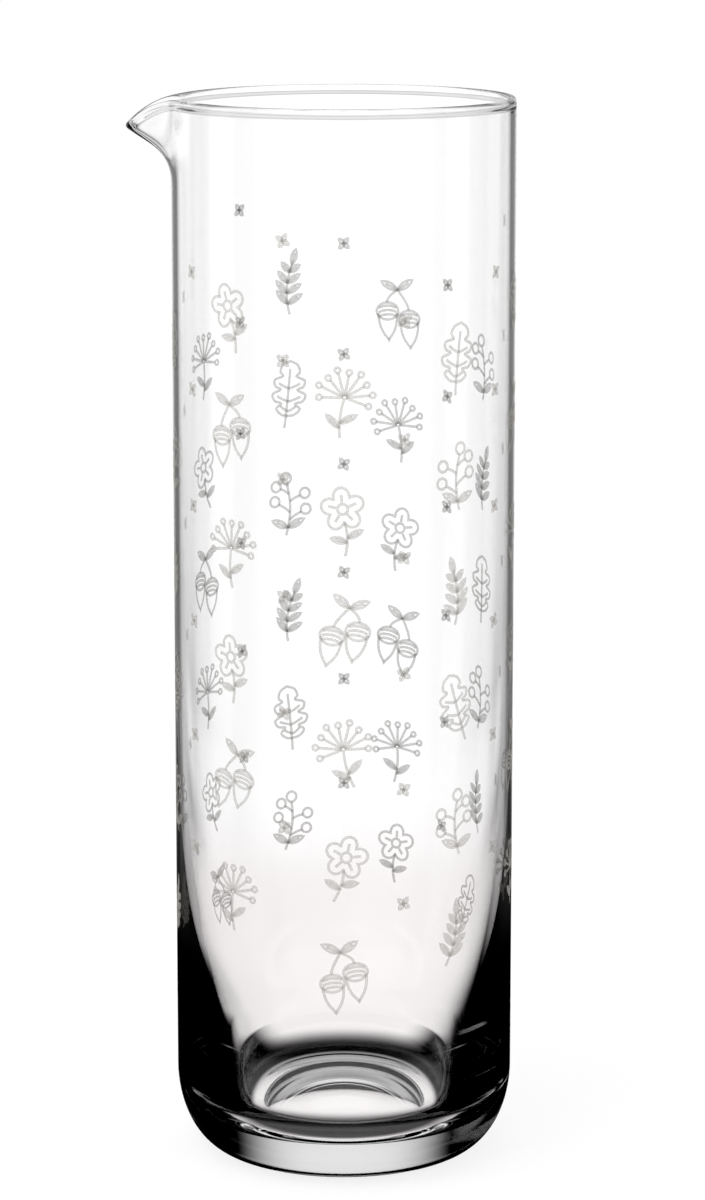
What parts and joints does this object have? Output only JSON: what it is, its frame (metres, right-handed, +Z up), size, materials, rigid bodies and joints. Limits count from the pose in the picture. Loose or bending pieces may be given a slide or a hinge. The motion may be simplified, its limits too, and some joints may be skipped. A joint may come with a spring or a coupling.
{
  "type": "glass pitcher",
  "caption": "Tall straight clear glass carafe without a handle, with a heavy rounded foot, a thin wall, a rounded rim and a pulled pouring lip, for serving water or juice.",
  "frame": {"origin": "on the plane that the foot stands on, under the middle of the overall length and width; the axis of the round body is 5.5 mm from it, towards +X", "axes": "+Z up along the body, -X towards the pouring lip"},
  "size_m": [0.097, 0.086, 0.27],
  "materials": {
    "clear_glass": "clear and polished, without a tint",
    "etched_line": "fine matt pale grey lines on the wall"
  },
  "bodies": {
    "root": {"glass_body": "clear_glass"}
  },
  "joints": []
}
